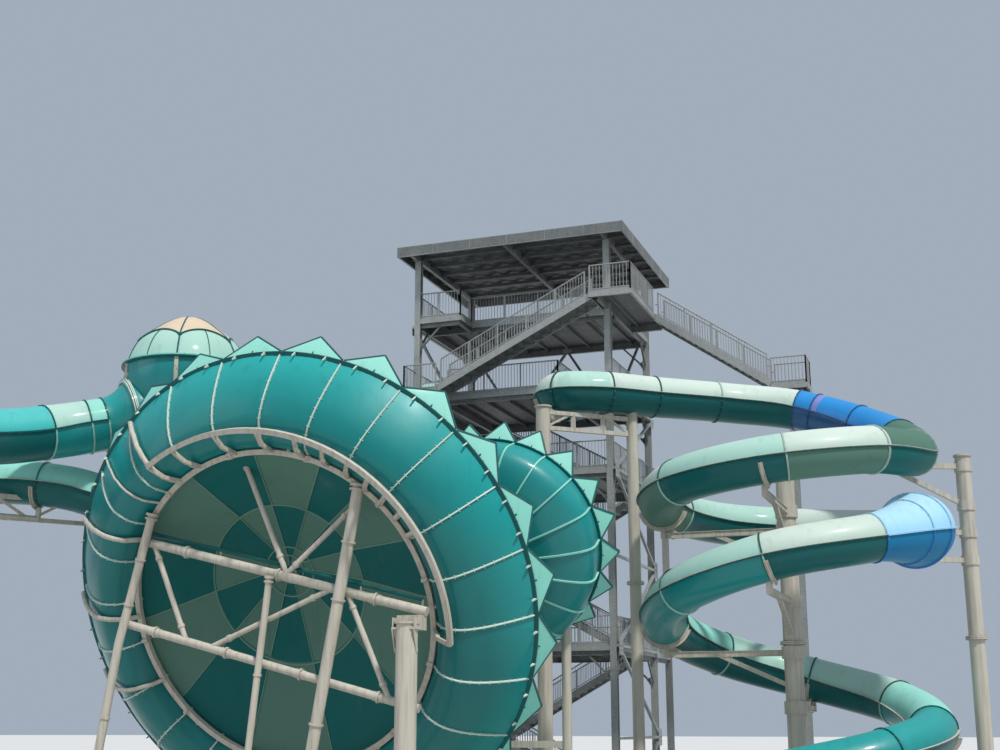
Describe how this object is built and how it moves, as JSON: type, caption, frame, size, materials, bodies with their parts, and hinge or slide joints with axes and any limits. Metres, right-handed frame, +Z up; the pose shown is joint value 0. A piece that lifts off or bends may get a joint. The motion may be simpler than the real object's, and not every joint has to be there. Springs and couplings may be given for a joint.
{
  "type": "water slide tower",
  "caption": "Stair tower with closed tube slides, a helix with a flared chamber, a domed chamber and a large tilted bowl with pointed fins.",
  "frame": {"origin": "foot of the tower's front left column, at ground level", "axes": "+X along the tower's front towards the helix, +Y back into the tower, +Z up"},
  "size_m": [34.7703, 27.9938, 22.72],
  "materials": {
    "galvanised_steel": "hot-dip galvanised, dull",
    "cream_paint": "semi-gloss cream paint, weathered",
    "teal_gelcoat": "glossy gelcoat on fibreglass",
    "dark_green_gelcoat": "satin gelcoat on fibreglass",
    "light_green_gelcoat": "satin gelcoat on fibreglass",
    "mint_gelcoat": "satin gelcoat on fibreglass",
    "blue_gelcoat": "glossy gelcoat on fibreglass",
    "sky_blue_gelcoat": "glossy gelcoat on fibreglass"
  },
  "bodies": {
    "root": {"tower_column_1": "galvanised_steel", "tower_column_2": "galvanised_steel", "tower_column_3": "galvanised_steel", "tower_column_4": "galvanised_steel", "roof": "galvanised_steel", "deck_1": "galvanised_steel", "deck_2": "galvanised_steel", "deck_3": "galvanised_steel", "deck_4": "galvanised_steel", "front_stair": "galvanised_steel", "side_stair": "galvanised_steel", "stair_post_1": "galvanised_steel", "stair_post_2": "galvanised_steel", "rear_stair_lower": "galvanised_steel", "rear_stair_middle": "galvanised_steel", "rear_stair_upper": "galvanised_steel", "bracing_left": "galvanised_steel", "bracing_right": "galvanised_steel", "elbow_tube": "teal_gelcoat", "upper_tube": "teal_gelcoat", "blue_tube": "blue_gelcoat", "helix_tube_1": "teal_gelcoat", "helix_tube_2": "teal_gelcoat", "helix_tube_3": "teal_gelcoat", "helix_tube_4": "teal_gelcoat", "run_out_tube": "teal_gelcoat", "flared_chamber": "sky_blue_gelcoat", "bowl_wall_1": "teal_gelcoat", "bowl_wall_2": "teal_gelcoat", "bowl_wall_3": "teal_gelcoat", "bowl_wall_4": "teal_gelcoat", "bowl_back_outer": "dark_green_gelcoat", "bowl_back_inner": "light_green_gelcoat", "fin_crown": "mint_gelcoat", "small_dish": "teal_gelcoat", "small_dish_fins": "mint_gelcoat", "feed_tube": "teal_gelcoat", "dome_chamber": "teal_gelcoat", "dome_cap": "mint_gelcoat", "left_tube": "teal_gelcoat", "lower_left_tube": "teal_gelcoat", "elbow_frame": "cream_paint", "helix_mast": "cream_paint", "outer_column": "cream_paint", "bowl_ring_frame": "cream_paint", "bowl_cross_frame": "cream_paint", "bowl_left_leg": "cream_paint", "bowl_right_leg": "cream_paint", "bowl_middle_leg": "cream_paint", "bowl_column": "cream_paint", "dome_column": "cream_paint", "loop_mast": "cream_paint", "small_dish_frame": "cream_paint", "bowl_outlet": "teal_gelcoat"}
  },
  "joints": []
}
